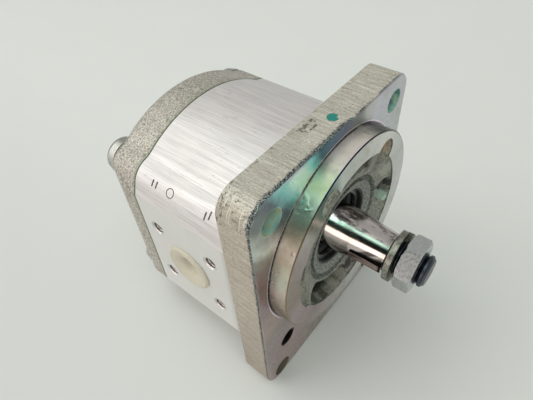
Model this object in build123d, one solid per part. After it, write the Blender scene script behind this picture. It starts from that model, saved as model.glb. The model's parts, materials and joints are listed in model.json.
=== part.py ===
from build123d import *
from math import acos, atan2, cos, pi, radians, sin, sqrt, tan
import os

# Hydraulic gear pump with a rectangular mounting flange and a tapered drive shaft.
# Units are millimetres. The origin is where the drive shaft's axis crosses the
# flange's mounting face. The shaft end points to -Y, the pump body lies towards +Y,
# +Z is up and the two ports face -X and +X.

# ---------------------------------------------------------------- driving dimensions
# Gears
MODULE = 2.5
TEETH = 12
PRESSURE_ANGLE = 20.0
TOOTH_THINNING = 0.2          # backlash, taken off each tooth at the pitch circle
GEAR_TIP_R = 17.4
GEAR_ROOT_R = 11.8
CENTRE_DISTANCE = MODULE * TEETH
GEAR_WIDTH = 18.3
TIP_CLEARANCE = 0.08
SIDE_CLEARANCE = 0.1

# Mounting flange and pilot
FLANGE_WIDTH = 90.0
FLANGE_TOP = 44.3
FLANGE_BOTTOM = -68.0
FLANGE_THICKNESS = 13.0
FLANGE_CORNER_R = 8.0
PILOT_R = 40.0
PILOT_HEIGHT = 7.0
PILOT_CHAMFER = 0.4
MOUNT_HOLE_R = 4.6
MOUNT_SPACING_X = 72.0
MOUNT_TOP_Z = 34.5
MOUNT_LOW_Z = -62.6

# Recess inside the pilot
RECESS_R = 31.0
RECESS_STEP = 0.5
DISH_INNER_R = 22.0
DISH_DEPTH = 2.9
RING_GROOVE_INNER_R = 19.5
RING_GROOVE_DEPTH = 2.2
SEAL_BORE_R = 15.0
SEAL_BORE_MOUTH_Y = -2.3
SEAL_SEAT_Y = 8.2
# Cast pockets in the dish: distance from the shaft, start and end angle, width, floor, wall draft
KIDNEY_POCKETS = [
    (28.4, 66, 104, 5.0, -3.4, 26),
    (26.8, -4, 4, 8.0, 1.0, 14),
    (26.8, -139, -94, 8.4, 2.5, 12),
    (27.2, -70, -52, 7.0, 2.5, 12),
    (30.0, 162, 172, 3.4, -3.0, 14),
    (29.6, 184, 206, 3.4, -5.4, 30),
]
# Angle, start and end of the centre line, width, floor, wall draft
LOBE_POCKETS = [(52.5, 26.0, 31.0, 10.4, -4.4, 20), (118.5, 28.0, 33.2, 7.6, -4.9, 24)]
SHAFT_HOLE_CLEARANCE = 0.6

# Body
BODY_LENGTH = 49.5
BODY_HALF_WIDTH = 41.8
BODY_TOP = 34.4
BODY_ARC_R = 54.0
LOBE_X = 30.6
LOBE_Z = 14.8
LOBE_R = 9.7
VALLEY_R = 10.0
PORT_FACE_TOP = 12.5
SPIGOT_LENGTH = 5.0
BLOCK_CLEARANCE = 0.05
BLOCK_END_GAP = 0.15
DOWEL_R = 3.0
DOWEL_DEPTH = 5.0
SEAL_PATH_R = 21.5            # round ends of the stadium-shaped face seal
SEAL_GROOVE_WIDTH = 2.8
SEAL_GROOVE_DEPTH = 1.7
# Pairs of short strokes and a ring stamped into the left lobe, placed by y and angle on the lobe
TICK_STROKES = [(53.7, 131, 147), (51.7, 131, 147), (27.3, 132, 150), (25.5, 126, 144)]
TICK_WIDTH = 0.7
STAMP_DEPTH = 0.45
STAMP_RING_Y = 44.6
STAMP_RING_DEG = 139
STAMP_RING_R = 1.9
STAMP_RING_WIDTH = 0.4

# Rear cover
COVER_THICKNESS = 15.8
COVER_EDGE_R = 3.0
COVER_JOINT_CHAMFER = 0.45
COVER_SIDE_TAPER = 3.6
COVER_SIDE_TAPER_LENGTH = 8.5
COVER_SPOT_DEPTH = 1.2
COVER_SHAFT_RECESS = 2.5

# Ports
PORT_PCD = 40.0
PORT_R = 10.0
PORT_DEPTH = 15.0
PORT_INNER_R = 8.0
PORT_THREAD_R = 2.5
PORT_THREAD_DEPTH = 13.0
PORT_COUNTERSINK_R = 3.5
PLUG_RIM_R = 10.75
PLUG_SKIRT_R = 9.94
PLUG_DISH_R = 8.2
PLUG_DIMPLE_R = 4.6
PLUG_DIMPLE_DEPTH = 3.6

# Through bolts, M8
BOLT_X = 31.0
BOLT_SPACING_Z = 59.8
BOLT_ROW_RISE = 1.6            # the bolts sit a little above the middle of the body
BOLT_R = 4.0
BOLT_HOLE_R = 4.3
BOLT_HEAD_R = 7.4
BOLT_HEAD_HEIGHT = 4.2
BOLT_SOCKET_AF = 5.0
BOLT_SOCKET_DEPTH = 2.6
WASHER_R = 7.9
WASHER_THICKNESS = 1.5
BOLT_TIP_Y = 5.0
BOLT_SINK = 0.7
BOLT_BLIND_Y = -2.5
BOLT_SHANK_R = 3.95

# Drive shaft
SHAFT_R = 8.95
JOURNAL_R = 9.0
JOURNAL_START_Y = 12.0
TAPER_START_Y = -7.0
TAPER_END_Y = -24.0
TAPER_RATIO = 0.1             # radius lost per length, a 1:5 taper on the diameter
THREAD_R = 5.95
THREAD_PITCH = 1.5
THREAD_END_Y = -38.0
UNDERCUT_R = 5.0
BUSH_R = 10.5
BUSH_CLEARANCE = 0.03
PRESSURE_GROOVE_DEPTH = 2.0
PRESSURE_SEAL_MID_R = 13.6
PRESSURE_SEAL_WIDTH = 1.8
PRESSURE_SEAL_THICKNESS = 1.15
BACKUP_RING_THICKNESS = 0.75

# Shaft seal and its retaining ring
SEAL_CASE_START_Y = 1.0
SEAL_CASE_END_Y = 8.0
SEAL_LIP_CLEARANCE = 0.05
GARTER_Y = 4.6
GARTER_PATH_R = 10.75
GARTER_WIRE_R = 0.6
CIRCLIP_INNER_R = 13.3
CIRCLIP_START_Y = -0.75
CIRCLIP_END_Y = 0.45
CIRCLIP_GAP_MIDDLE_DEG = 127.5
CIRCLIP_HALF_GAP_DEG = 20.0
CIRCLIP_EAR_TURN_DEG = 5.5

# Woodruff key 3 x 5, nut M12 x 1.5 and split lock washer
KEY_WIDTH = 3.0
KEY_DISC_R = 6.5
KEY_HEIGHT = 5.0
KEY_PROUD = 1.2
KEY_Y = -17.7
NUT_ACROSS_FLATS = 18.0
NUT_THICKNESS = 6.0
NUT_BEVEL = 1.1
NUT_BACK_Y = -28.6
NUT_TURN_DEG = 47.0
LOCK_WASHER_OUTER_R = 9.6
LOCK_WASHER_INNER_R = 6.3
LOCK_WASHER_THICKNESS = 2.1
LOCK_WASHER_RISE = 1.5
LOCK_WASHER_GAP_DEG = 9.0
LOCK_WASHER_SPLIT_DEG = 47.0

# ---------------------------------------------------------------- derived places
DRIVEN_Z = -CENTRE_DISTANCE
MID_Z = DRIVEN_Z / 2
BODY_START_Y = FLANGE_THICKNESS
BODY_END_Y = BODY_START_Y + BODY_LENGTH
SPIGOT_END_Y = BODY_START_Y + SPIGOT_LENGTH
GEAR_MID_Y = (SPIGOT_END_Y + BODY_END_Y) / 2
GEAR_START_Y = GEAR_MID_Y - GEAR_WIDTH / 2
GEAR_END_Y = GEAR_MID_Y + GEAR_WIDTH / 2
COVER_END_Y = BODY_END_Y + COVER_THICKNESS
CHAMBER_R = GEAR_TIP_R + TIP_CLEARANCE
BLOCK_R = CHAMBER_R - BLOCK_CLEARANCE
FRONT_BLOCK = (SPIGOT_END_Y + BLOCK_END_GAP, GEAR_START_Y - SIDE_CLEARANCE)
REAR_BLOCK = (GEAR_END_Y + SIDE_CLEARANCE, BODY_END_Y - BLOCK_END_GAP)
SHAFT_END_Y = BODY_END_Y - 1.0
BOLT_MID_Z = MID_Z + BOLT_ROW_RISE
BOLT_ROWS = (BOLT_MID_Z + BOLT_SPACING_Z / 2, BOLT_MID_Z - BOLT_SPACING_Z / 2)
BOLT_PLACES = [(side * BOLT_X, z) for side in (-1, 1) for z in BOLT_ROWS]
BOLT_SEAT_Y = COVER_END_Y - COVER_SPOT_DEPTH
DOWEL_PLACES = [(-BOLT_X + 4, MID_Z + 9), (BOLT_X - 4, MID_Z - 9)]
PILOT_FRONT_Y = -PILOT_HEIGHT
DISH_INNER_Y = PILOT_FRONT_Y + DISH_DEPTH
DISH_MOUTH_Y = PILOT_FRONT_Y - 0.5
TAPER_END_R = SHAFT_R - TAPER_RATIO * (TAPER_START_Y - TAPER_END_Y)


# ---------------------------------------------------------------- small tools
def flat(points):
    """A face in the XY plane from its corner points."""
    return make_face(Polyline(*points, close=True))


def turned(profile, x=0.0, z=0.0):
    """A turned piece: (radius, y) corners revolved about an axis along Y."""
    return Pos(x, 0, z) * revolve(flat(profile), axis=Axis.Y)


def rod(radius, start_y, end_y, x=0.0, z=0.0):
    """A plain cylinder along Y."""
    middle = Pos(x, (start_y + end_y) / 2, z)
    return middle * (Rot(90, 0, 0) * Cylinder(radius, end_y - start_y))


def ring(outer, inner, start_y, end_y, x=0.0, z=0.0):
    """A plain tube along Y."""
    return rod(outer, start_y, end_y, x, z) - rod(inner, start_y - 1, end_y + 1, x, z)


def slab(face, start_y, end_y):
    """An (x, z) face extruded along +Y."""
    return Pos(0, start_y, 0) * extrude(Plane.XZ * face, amount=-(end_y - start_y))


def cross_rod(radius, start_x, end_x, y, z):
    """A plain cylinder along X."""
    middle = Pos((start_x + end_x) / 2, y, z)
    return middle * (Rot(0, 90, 0) * Cylinder(radius, abs(end_x - start_x)))


def twin_circles(radius):
    """The figure-eight outline round both gear axes."""
    return Circle(radius) + Pos(0, DRIVEN_Z) * Circle(radius)


def stadium(radius):
    """The outline with two round ends, one about each gear axis."""
    return Pos(0, MID_Z) * Rot(0, 0, 90) * SlotCenterToCenter(CENTRE_DISTANCE, radius * 2)


def save(shape, node):
    os.makedirs("parts", exist_ok=True)
    export_step(shape, f"parts/{node}.step")


# ---------------------------------------------------------------- housing outline
def body_outline():
    """Cross-section shared by the body and the rear cover, symmetrical about MID_Z.

    A large arc over the gears, a shallow valley, a lobe round each bolt and a flat port face,
    every stretch tangent to the next except at the port face's sharp corner.
    """
    arc_centre = Vector(0, BODY_TOP - BODY_ARC_R - MID_Z)
    lobe_centre = Vector(LOBE_X, LOBE_Z - MID_Z)
    corner = Vector(BODY_HALF_WIDTH, PORT_FACE_TOP - MID_Z)

    between = lobe_centre - arc_centre
    to_arc = BODY_ARC_R + VALLEY_R
    to_lobe = LOBE_R + VALLEY_R
    along = (to_arc ** 2 - to_lobe ** 2 + between.length ** 2) / (2 * between.length)
    across = sqrt(to_arc ** 2 - along ** 2)
    unit = between.normalized()
    valley_centre = arc_centre + unit * along + Vector(-unit.Y, unit.X) * across
    arc_end = arc_centre + (valley_centre - arc_centre).normalized() * BODY_ARC_R
    lobe_start = lobe_centre + (valley_centre - lobe_centre).normalized() * LOBE_R
    valley_low = valley_centre - (valley_centre - (arc_end + lobe_start) / 2).normalized() * VALLEY_R

    reach = corner - lobe_centre
    touch = atan2(reach.Y, reach.X) + acos(LOBE_R / reach.length)
    lobe_end = lobe_centre + Vector(cos(touch), sin(touch)) * LOBE_R
    lobe_middle = lobe_centre + ((lobe_start + lobe_end) / 2 - lobe_centre).normalized() * LOBE_R

    def place(point, side, way):
        return (side * point.X, MID_Z + way * point.Y)

    edges = []
    for way in (1, -1):
        top = Vector(0, BODY_TOP - MID_Z)
        edges.append(ThreePointArc(place(arc_end, -1, way), place(top, 1, way),
                                   place(arc_end, 1, way)))
    for side in (-1, 1):
        for way in (1, -1):
            edges.append(ThreePointArc(place(arc_end, side, way), place(valley_low, side, way),
                                       place(lobe_start, side, way)))
            edges.append(ThreePointArc(place(lobe_start, side, way), place(lobe_middle, side, way),
                                       place(lobe_end, side, way)))
            edges.append(Line(place(lobe_end, side, way), place(corner, side, way)))
        edges.append(Line(place(corner, side, 1), place(corner, side, -1)))
    return make_face(Wire(edges))


# ---------------------------------------------------------------- front cover
def kidney(radius, start_deg, end_deg, width):
    """A curved pocket's mouth, round-ended, along an arc about the shaft axis."""
    arc = CenterArc((0, 0), radius, start_deg, end_deg - start_deg)
    return SlotArc(arc, width)


def radial_lobe(angle_deg, start_r, end_r, width):
    """A round-ended pocket's mouth that points outwards from the shaft axis."""
    middle = (start_r + end_r) / 2
    return Rot(0, 0, angle_deg) * Pos(middle, 0) * SlotCenterToCenter(end_r - start_r, width)


def cast_pocket(floor_face, floor_y, draft_deg):
    """A pocket that widens from its floor to its mouth in front of the pilot."""
    floor_plane = Plane.XZ.offset(-floor_y)
    return extrude(floor_plane * floor_face, amount=floor_y - DISH_MOUTH_Y, taper=-draft_deg)


def recess_pockets():
    """Cast pockets in the dished face inside the pilot. Their widths are taken at the dish."""
    pockets = []
    for radius, start_deg, end_deg, width, floor_y, draft_deg in KIDNEY_POCKETS:
        narrowing = 2 * (floor_y - DISH_INNER_Y + 1) * tan(radians(draft_deg))
        face = kidney(radius, start_deg, end_deg, width - narrowing)
        pockets.append(cast_pocket(face, floor_y, draft_deg))
    for angle_deg, start_r, end_r, width, floor_y, draft_deg in LOBE_POCKETS:
        narrowing = 2 * (floor_y - DISH_INNER_Y + 1) * tan(radians(draft_deg))
        face = radial_lobe(angle_deg, start_r, end_r, width - narrowing)
        pockets.append(cast_pocket(face, floor_y, draft_deg))
    return pockets


def recess_cut():
    """The dished face, the ring groove round the seal collar and the seal bore."""
    step_y = PILOT_FRONT_Y + RECESS_STEP
    groove_y = DISH_INNER_Y + RING_GROOVE_DEPTH
    collar_y = DISH_INNER_Y + 0.3
    return turned([
        (0, PILOT_FRONT_Y - 1), (RECESS_R, PILOT_FRONT_Y - 1), (RECESS_R, step_y),
        (DISH_INNER_R, DISH_INNER_Y), (DISH_INNER_R - 0.6, groove_y - 0.5),
        (DISH_INNER_R - 1.2, groove_y), (RING_GROOVE_INNER_R + 0.3, groove_y),
        (RING_GROOVE_INNER_R, groove_y - 0.3), (RING_GROOVE_INNER_R, collar_y),
        (SEAL_BORE_R + 0.6, SEAL_BORE_MOUTH_Y - 0.4), (SEAL_BORE_R, SEAL_BORE_MOUTH_Y),
        (SEAL_BORE_R, SEAL_SEAT_Y), (0, SEAL_SEAT_Y),
    ])


def front_cover():
    height = FLANGE_TOP - FLANGE_BOTTOM
    plate_face = Pos(0, (FLANGE_TOP + FLANGE_BOTTOM) / 2) * RectangleRounded(
        FLANGE_WIDTH, height, FLANGE_CORNER_R)
    plate = slab(plate_face, 0, FLANGE_THICKNESS)
    plate = chamfer(plate.edges().group_by(Axis.Y)[0], 0.4)
    pilot = turned([(0, 1), (PILOT_R, 1), (PILOT_R, PILOT_FRONT_Y + PILOT_CHAMFER),
                    (PILOT_R - PILOT_CHAMFER, PILOT_FRONT_Y), (0, PILOT_FRONT_Y)])
    root_groove = turned([(PILOT_R, -0.5), (PILOT_R + 0.8, -0.5), (PILOT_R + 0.8, 0.35),
                          (PILOT_R, 0.35)])
    spigot = slab(twin_circles(BLOCK_R), FLANGE_THICKNESS - 1, SPIGOT_END_Y)
    cover = plate - root_groove + pilot + spigot
    cover -= recess_cut()
    for pocket in recess_pockets():
        cover -= pocket
    shaft_hole_r = JOURNAL_R + SHAFT_HOLE_CLEARANCE
    cover -= rod(shaft_hole_r, 0, SPIGOT_END_Y + 1)
    cover -= rod(shaft_hole_r, SPIGOT_END_Y - 2.5, SPIGOT_END_Y + 1, 0, DRIVEN_Z)
    cover -= ring(SEAL_BORE_R + 0.7, SEAL_BORE_R - 1, -0.8, 0.5)
    for side in (-1, 1):
        x = side * MOUNT_SPACING_X / 2
        cover -= rod(MOUNT_HOLE_R, -1, FLANGE_THICKNESS + 1, x, MOUNT_TOP_Z)
        cover -= rod(MOUNT_HOLE_R, -1, FLANGE_THICKNESS + 1, x, MOUNT_LOW_Z)
        cover -= rod(BOLT_R, -1, FLANGE_THICKNESS + 1, side * BOLT_X, BOLT_ROWS[1])
        cover -= turned([(0, -1), (BOLT_R + BOLT_SINK, -1), (BOLT_R + BOLT_SINK, 0),
                         (BOLT_R, BOLT_SINK), (0, BOLT_SINK)], side * BOLT_X, BOLT_ROWS[1])
        cover -= rod(BOLT_R, BOLT_BLIND_Y, FLANGE_THICKNESS + 1, side * BOLT_X, BOLT_ROWS[0])
    for x, z in DOWEL_PLACES:
        cover -= rod(DOWEL_R, BODY_START_Y - DOWEL_DEPTH, BODY_START_Y + 1, x, z)
    return cover


# ---------------------------------------------------------------- body and rear cover
def face_seal_groove(start_y, end_y):
    outer = stadium(SEAL_PATH_R + SEAL_GROOVE_WIDTH / 2)
    inner = stadium(SEAL_PATH_R - SEAL_GROOVE_WIDTH / 2)
    return slab(outer - inner, start_y, end_y)


def port_holes(side):
    """Port bore, its narrower throat and the four tapped holes of one port face."""
    face_x = side * BODY_HALF_WIDTH
    cut = cross_rod(PORT_R, face_x + side, face_x - side * PORT_DEPTH, GEAR_MID_Y, MID_Z)
    cut += cross_rod(PORT_INNER_R, face_x, side * 8, GEAR_MID_Y, MID_Z)
    reach = PORT_PCD / 2 * sin(pi / 4)
    for dy in (-reach, reach):
        for dz in (-reach, reach):
            y = GEAR_MID_Y + dy
            z = MID_Z + dz
            cut += cross_rod(PORT_THREAD_R, face_x + side, face_x - side * PORT_THREAD_DEPTH, y, z)
            sink = Cone(PORT_COUNTERSINK_R - 0.6, PORT_COUNTERSINK_R, 0.6)
            cut += Pos(face_x - side * 0.2, y, z) * Rot(0, side * 90, 0) * sink
    return cut


def on_lobe(y, angle_deg):
    """The plane that lies on the left lobe at a place, its X axis round the lobe."""
    turn = radians(angle_deg)
    place = (-LOBE_X + LOBE_R * cos(turn), y, LOBE_Z + LOBE_R * sin(turn))
    return Plane(origin=place, x_dir=(-sin(turn), 0, cos(turn)), z_dir=(cos(turn), 0, sin(turn)))


def lobe_stamps():
    """Short strokes and a plain ring pressed into the left lobe."""
    cuts = []
    for y, start_deg, end_deg in TICK_STROKES:
        length = LOBE_R * radians(end_deg - start_deg)
        middle = on_lobe(y, (start_deg + end_deg) / 2)
        cuts.append(middle * Box(length, TICK_WIDTH, STAMP_DEPTH * 2))
    tube = Cylinder(STAMP_RING_R, STAMP_DEPTH * 2)
    tube -= Cylinder(STAMP_RING_R - STAMP_RING_WIDTH, STAMP_DEPTH * 2)
    cuts.append(on_lobe(STAMP_RING_Y, STAMP_RING_DEG) * tube)
    return cuts


def pump_body():
    body = slab(body_outline(), BODY_START_Y, BODY_END_Y)
    for stamp in lobe_stamps():
        body -= stamp
    body -= slab(twin_circles(CHAMBER_R), BODY_START_Y - 1, BODY_END_Y + 1)
    for side in (-1, 1):
        body -= port_holes(side)
    for x, z in BOLT_PLACES:
        body -= rod(BOLT_HOLE_R, BODY_START_Y - 1, BODY_END_Y + 1, x, z)
    for x, z in DOWEL_PLACES:
        body -= rod(DOWEL_R, BODY_START_Y - 1, BODY_START_Y + DOWEL_DEPTH, x, z)
        body -= rod(DOWEL_R, BODY_END_Y - DOWEL_DEPTH, BODY_END_Y + 1, x, z)
    body -= face_seal_groove(BODY_START_Y - 1, BODY_START_Y + SEAL_GROOVE_DEPTH)
    body -= face_seal_groove(BODY_END_Y - SEAL_GROOVE_DEPTH, BODY_END_Y + 1)
    return body


def rear_cover():
    """Cast end cover: its back edge is well rounded and its sides slope inwards."""
    cover = slab(body_outline(), BODY_END_Y, COVER_END_Y)
    cover = fillet(cover.edges().group_by(Axis.Y)[-1], COVER_EDGE_R)
    cover = chamfer(cover.edges().group_by(Axis.Y)[0], COVER_JOINT_CHAMFER)
    for side in (-1, 1):
        edge = side * (BODY_HALF_WIDTH + 0.01)
        wedge = flat([(edge, COVER_END_Y - COVER_SIDE_TAPER_LENGTH), (edge + side * 5, BODY_END_Y + 2),
                      (edge + side * 5, COVER_END_Y + 1),
                      (edge - side * COVER_SIDE_TAPER, COVER_END_Y + 1)])
        cover -= Pos(0, 0, MID_Z - 60) * extrude(wedge, amount=120)
    for x, z in BOLT_PLACES:
        cover -= rod(WASHER_R + 0.6, BOLT_SEAT_Y, COVER_END_Y + 1, x, z)
        cover -= rod(BOLT_HOLE_R, BODY_END_Y - 1, COVER_END_Y + 1, x, z)
    for z in (0, DRIVEN_Z):
        cover -= rod(JOURNAL_R, BODY_END_Y - 1, BODY_END_Y + COVER_SHAFT_RECESS, 0, z)
    for x, z in DOWEL_PLACES:
        cover -= rod(DOWEL_R, BODY_END_Y - 1, BODY_END_Y + DOWEL_DEPTH, x, z)
    return cover


# ---------------------------------------------------------------- gears and shafts
def involute(radius, base_r):
    """Involute polar angle, in radians, at a radius on or above the base circle."""
    roll = sqrt(max((radius / base_r) ** 2 - 1, 0))
    return roll - atan2(roll, 1)


def gear_face(phase_deg):
    """Gear outline in (x, z) with a tooth centred on phase_deg."""
    pitch_r = MODULE * TEETH / 2
    base_r = pitch_r * cos(radians(PRESSURE_ANGLE))
    half_pitch = pi / 2 / TEETH - TOOTH_THINNING / 2 / pitch_r
    steps = 6
    radii = [base_r + (GEAR_TIP_R - base_r) * i / steps for i in range(steps + 1)]
    halves = [half_pitch + involute(pitch_r, base_r) - involute(r, base_r) for r in radii]

    def at(radius, angle):
        return (radius * cos(angle), radius * sin(angle))

    edges = []
    for tooth in range(TEETH):
        middle = radians(phase_deg) + 2 * pi * tooth / TEETH
        following = middle + 2 * pi / TEETH
        low = [at(r, middle - h) for r, h in zip(radii, halves)]
        high = [at(r, middle + h) for r, h in zip(radii, halves)]
        edges.append(Line(at(GEAR_ROOT_R, middle - halves[0]), low[0]))
        edges.append(Spline(*low))
        edges.append(ThreePointArc(low[-1], at(GEAR_TIP_R, middle), high[-1]))
        edges.append(Spline(*high))
        edges.append(Line(high[0], at(GEAR_ROOT_R, middle + halves[0])))
        edges.append(ThreePointArc(at(GEAR_ROOT_R, middle + halves[0]),
                                   at(GEAR_ROOT_R, (middle + following) / 2),
                                   at(GEAR_ROOT_R, following - halves[0])))
    return make_face(Wire(edges))


def thread_profile():
    """Grooved thread from the undercut to the chamfered end, as (radius, y) corners."""
    depth = 0.75
    points = [(UNDERCUT_R, TAPER_END_Y - 1.0), (THREAD_R - 0.3, TAPER_END_Y - 1.4)]
    y = TAPER_END_Y - 1.6
    while y - THREAD_PITCH > THREAD_END_Y + 0.9:
        points += [(THREAD_R, y), (THREAD_R, y - 0.3), (THREAD_R - depth, y - 0.82),
                   (THREAD_R - depth, y - 0.98)]
        y -= THREAD_PITCH
    points += [(THREAD_R, y), (THREAD_R, THREAD_END_Y + 1.1), (THREAD_R - 1.2, THREAD_END_Y)]
    return points


def key_disc(extra=0.0):
    """The Woodruff key's disc, cut off flat at its top, pointing to -X."""
    surface_r = SHAFT_R - TAPER_RATIO * (TAPER_START_Y - KEY_Y)
    top_x = -(surface_r + KEY_PROUD)
    centre_x = top_x + KEY_HEIGHT - KEY_DISC_R
    disc = Pos(centre_x, KEY_Y, 0) * Cylinder(KEY_DISC_R, KEY_WIDTH)
    room = Pos(top_x + 10 - extra, KEY_Y, 0) * Box(20, 30, 20)
    return disc & room


def drive_gear_shaft():
    shaft_profile = [(0, THREAD_END_Y)]
    shaft_profile += list(reversed(thread_profile()))
    shaft_profile += [
        (UNDERCUT_R, TAPER_END_Y), (TAPER_END_R - 0.4, TAPER_END_Y), (TAPER_END_R, TAPER_END_Y + 0.4),
        (SHAFT_R, TAPER_START_Y), (SHAFT_R, JOURNAL_START_Y - 0.5), (JOURNAL_R, JOURNAL_START_Y),
        (JOURNAL_R, SHAFT_END_Y - 0.8), (JOURNAL_R - 0.8, SHAFT_END_Y), (0, SHAFT_END_Y),
    ]
    shaft = turned(shaft_profile)
    shaft += slab(gear_face(0), GEAR_START_Y, GEAR_END_Y)
    shaft -= key_disc(6.0)
    return shaft


def driven_gear_shaft():
    start_y = SPIGOT_END_Y + 0.6
    shaft = turned([
        (0, start_y), (JOURNAL_R - 0.8, start_y), (JOURNAL_R, start_y + 0.8),
        (JOURNAL_R, SHAFT_END_Y - 0.8), (JOURNAL_R - 0.8, SHAFT_END_Y), (0, SHAFT_END_Y),
    ], 0, DRIVEN_Z)
    half_tooth = 180 / TEETH
    return shaft + slab(Pos(0, DRIVEN_Z) * gear_face(half_tooth), GEAR_START_Y, GEAR_END_Y)


# ---------------------------------------------------------------- bearings and their seals
def pressure_seal_face(width):
    """A figure-three outline: half rings round both journals, joined in the middle."""
    outer = PRESSURE_SEAL_MID_R + width / 2
    inner = PRESSURE_SEAL_MID_R - width / 2
    rings = Circle(outer) - Circle(inner)
    rings += Pos(0, DRIVEN_Z) * (Circle(outer) - Circle(inner))
    half = Pos(10, MID_Z) * Rectangle(24, 80)
    bridge = Pos(2, MID_Z) * Rectangle(width, 5)
    return (rings & half) + bridge


def bearing_block(span, groove_start_y, groove_end_y):
    start_y, end_y = span
    block = slab(twin_circles(BLOCK_R), start_y, end_y)
    for z in (0, DRIVEN_Z):
        block -= rod(BUSH_R, start_y - 1, end_y + 1, 0, z)
    return block - slab(pressure_seal_face(PRESSURE_SEAL_WIDTH + 0.2), groove_start_y, groove_end_y)


def bush(span, z):
    start_y, end_y = span
    bore = JOURNAL_R + BUSH_CLEARANCE
    return turned([(BUSH_R, start_y), (BUSH_R, end_y), (bore + 0.4, end_y), (bore, end_y - 0.4),
                   (bore, start_y + 0.4), (bore + 0.4, start_y)], 0, z)


def face_seal(middle_y):
    """O-ring that lies in the stadium-shaped groove of a body face."""
    section_r = SEAL_GROOVE_DEPTH / 2 - 0.02
    outline = Pos(0, middle_y, 0) * (Plane.XZ * stadium(SEAL_PATH_R))
    path = outline.face().outer_wire()
    start = path @ 0
    heading = path % 0
    return sweep(Plane(origin=start, z_dir=heading) * Circle(section_r), path=path)


# ---------------------------------------------------------------- shaft seal
def shaft_seal_case():
    """Pressed metal case of the shaft seal, an L-section ring."""
    outer = SEAL_BORE_R
    start_y = SEAL_CASE_START_Y
    end_y = SEAL_CASE_END_Y
    return turned([(outer, start_y), (outer, end_y), (outer - 4.0, end_y),
                   (outer - 4.0, end_y - 1.0), (outer - 1.0, end_y - 1.0), (outer - 1.0, start_y)])


def garter_ring(wire_r):
    return Pos(0, GARTER_Y, 0) * (Rot(90, 0, 0) * Torus(GARTER_PATH_R, wire_r))


def shaft_seal_lip():
    """Rubber lining with its main lip and dust lip on the shaft."""
    touch = SHAFT_R + SEAL_LIP_CLEARANCE
    lining = turned([
        (13.98, 1.0), (13.98, 6.98), (10.98, 6.98), (10.98, 7.6), (10.3, 7.6), (10.2, 6.2),
        (touch + 0.3, 5.0), (touch, 4.5), (touch + 0.6, 3.4), (10.0, 2.6), (touch + 0.2, 1.3),
        (touch + 0.3, 0.9), (10.6, 1.9), (12.4, 2.4), (13.0, 1.6),
    ])
    return lining - garter_ring(GARTER_WIRE_R + 0.02)


def seal_garter_spring():
    """Garter spring behind the main lip, as its closed outer ring."""
    return garter_ring(GARTER_WIRE_R)


def seal_retaining_ring():
    """Internal circlip with two drilled ears, in the seal bore's groove."""
    body = Circle(SEAL_BORE_R + 0.65) - Circle(CIRCLIP_INNER_R)
    far = 40.0
    half_gap = radians(CIRCLIP_HALF_GAP_DEG)
    corner = (far * cos(half_gap), far * sin(half_gap))
    opening = flat([(0, 0), (corner[0], -corner[1]), (far, 0), corner])
    body -= Rot(0, 0, CIRCLIP_GAP_MIDDLE_DEG) * opening
    for way in (-1, 1):
        turn = CIRCLIP_GAP_MIDDLE_DEG + way * (CIRCLIP_HALF_GAP_DEG + CIRCLIP_EAR_TURN_DEG)
        ear = Rot(0, 0, turn) * Pos(12.9, 0) * RectangleRounded(4.4, 3.2, 1.2)
        eye = Rot(0, 0, turn) * Pos(12.0, 0) * Circle(0.75)
        body = body + ear - eye
    return slab(body, CIRCLIP_START_Y, CIRCLIP_END_Y)


# ---------------------------------------------------------------- shaft end hardware
def shaft_nut():
    """Thin hexagon nut, bevelled on both faces."""
    front_y = NUT_BACK_Y - NUT_THICKNESS
    corner_r = NUT_ACROSS_FLATS / sqrt(3)
    hexagon = RegularPolygon(corner_r, 6, rotation=NUT_TURN_DEG)
    nut = slab(hexagon, front_y, NUT_BACK_Y)
    bevel = NUT_BEVEL
    drop = bevel * tan(radians(35))
    envelope = turned([(0, front_y), (corner_r - bevel, front_y), (corner_r + 0.2, front_y + drop),
                       (corner_r + 0.2, NUT_BACK_Y - drop), (corner_r - bevel, NUT_BACK_Y),
                       (0, NUT_BACK_Y)])
    bore = THREAD_R + 0.03
    hole = turned([(0, front_y - 1), (bore + 0.7, front_y - 0.1), (bore, front_y + 0.7),
                   (bore, NUT_BACK_Y - 0.7), (bore + 0.7, NUT_BACK_Y + 0.1), (0, NUT_BACK_Y + 1)])
    return (nut & envelope) - hole


def lock_washer():
    """Split spring washer: a rectangular section swept along most of one helix turn."""
    middle_r = (LOCK_WASHER_OUTER_R + LOCK_WASHER_INNER_R) / 2
    width = LOCK_WASHER_OUTER_R - LOCK_WASHER_INNER_R
    turn = 360.0 - LOCK_WASHER_GAP_DEG
    pitch = LOCK_WASHER_RISE * 360.0 / turn
    path = Helix(pitch=pitch, height=LOCK_WASHER_RISE, radius=middle_r)
    section = Plane(origin=path @ 0, x_dir=(1, 0, 0), z_dir=(0, 1, 0)) * Rectangle(
        width, LOCK_WASHER_THICKNESS)
    coil = sweep(section, path=path, is_frenet=True)
    start_y = TAPER_END_Y - 0.25 - LOCK_WASHER_THICKNESS / 2
    spin = LOCK_WASHER_SPLIT_DEG + LOCK_WASHER_GAP_DEG / 2
    return Pos(0, start_y, 0) * Rot(90, 0, 0) * Rot(0, 0, spin) * coil


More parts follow.
